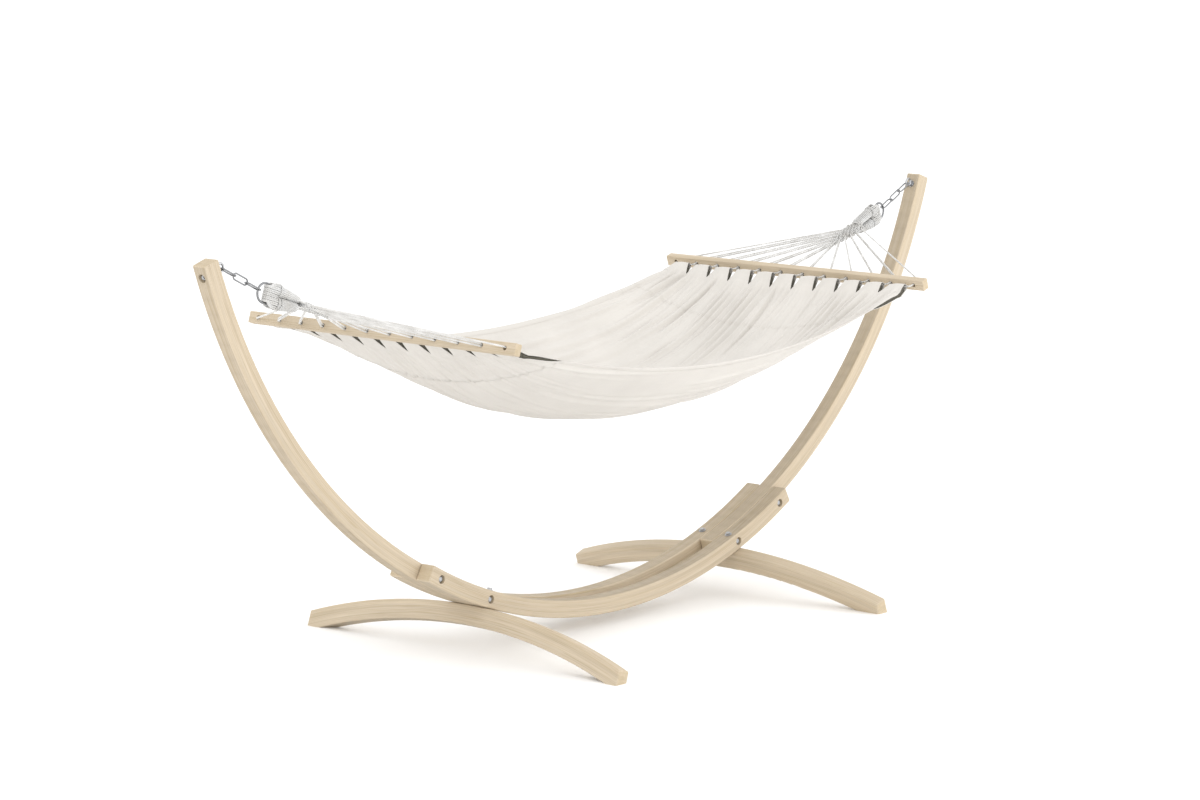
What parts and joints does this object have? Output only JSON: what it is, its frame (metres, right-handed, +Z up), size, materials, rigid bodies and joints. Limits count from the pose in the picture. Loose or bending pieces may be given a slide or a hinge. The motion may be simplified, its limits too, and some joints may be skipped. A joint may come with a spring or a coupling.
{
  "type": "hammock on stand",
  "caption": "Spreader-bar hammock of pale cotton canvas hung by chains between the arms of an arched laminated timber stand.",
  "frame": {"origin": "on the ground, under the middle of the stand (bottom centre of the bounding box)", "axes": "+X along the hammock, +Y across it, +Z up"},
  "size_m": [3.2648, 1.195, 1.2243],
  "materials": {
    "laminated_spruce": "sanded and clear oiled",
    "spreader_timber": "sanded and clear oiled",
    "zinc_plated_steel": "bright zinc plated",
    "cotton_cord": "laid cotton cord, undyed white",
    "cotton_canvas": "plain-woven canvas, natural white"
  },
  "bodies": {
    "stand": {"arm_left": "laminated_spruce", "arm_right": "laminated_spruce", "base_rail_back": "laminated_spruce", "base_rail_front": "laminated_spruce", "eye_bolt_left": "zinc_plated_steel", "eye_bolt_right": "zinc_plated_steel", "eye_nut_left": "zinc_plated_steel", "eye_nut_right": "zinc_plated_steel", "eye_washers_left": "zinc_plated_steel", "eye_washers_right": "zinc_plated_steel", "foot_bolts_left": "zinc_plated_steel", "foot_bolts_right": "zinc_plated_steel", "foot_left": "laminated_spruce", "foot_nuts_left": "zinc_plated_steel", "foot_nuts_right": "zinc_plated_steel", "foot_right": "laminated_spruce", "foot_washers_left": "zinc_plated_steel", "foot_washers_right": "zinc_plated_steel", "rail_bolts_left": "zinc_plated_steel", "rail_bolts_right": "zinc_plated_steel", "rail_nuts_left": "zinc_plated_steel", "rail_nuts_right": "zinc_plated_steel", "rail_washers_left": "zinc_plated_steel", "rail_washers_right": "zinc_plated_steel"},
    "hammock": {"chain_link_1_left": "zinc_plated_steel", "chain_link_1_right": "zinc_plated_steel", "chain_link_2_left": "zinc_plated_steel", "chain_link_2_right": "zinc_plated_steel", "chain_link_3_left": "zinc_plated_steel", "chain_link_3_right": "zinc_plated_steel", "clew_lobes_left": "cotton_cord", "clew_lobes_right": "cotton_cord", "clew_weave_left": "cotton_cord", "clew_weave_right": "cotton_cord", "hammock_bed": "cotton_canvas", "rigging_cords_left": "cotton_cord", "rigging_cords_right": "cotton_cord", "ring_left": "zinc_plated_steel", "ring_right": "zinc_plated_steel", "spreader_bar_left": "spreader_timber", "spreader_bar_right": "spreader_timber"}
  },
  "joints": [
    {"name": "swing", "type": "hinge", "parent": "stand", "child": "hammock", "pos_m": [0, 0, 1.1967], "axis": [1, 0, 0], "range_deg": [-25, 25]}
  ]
}
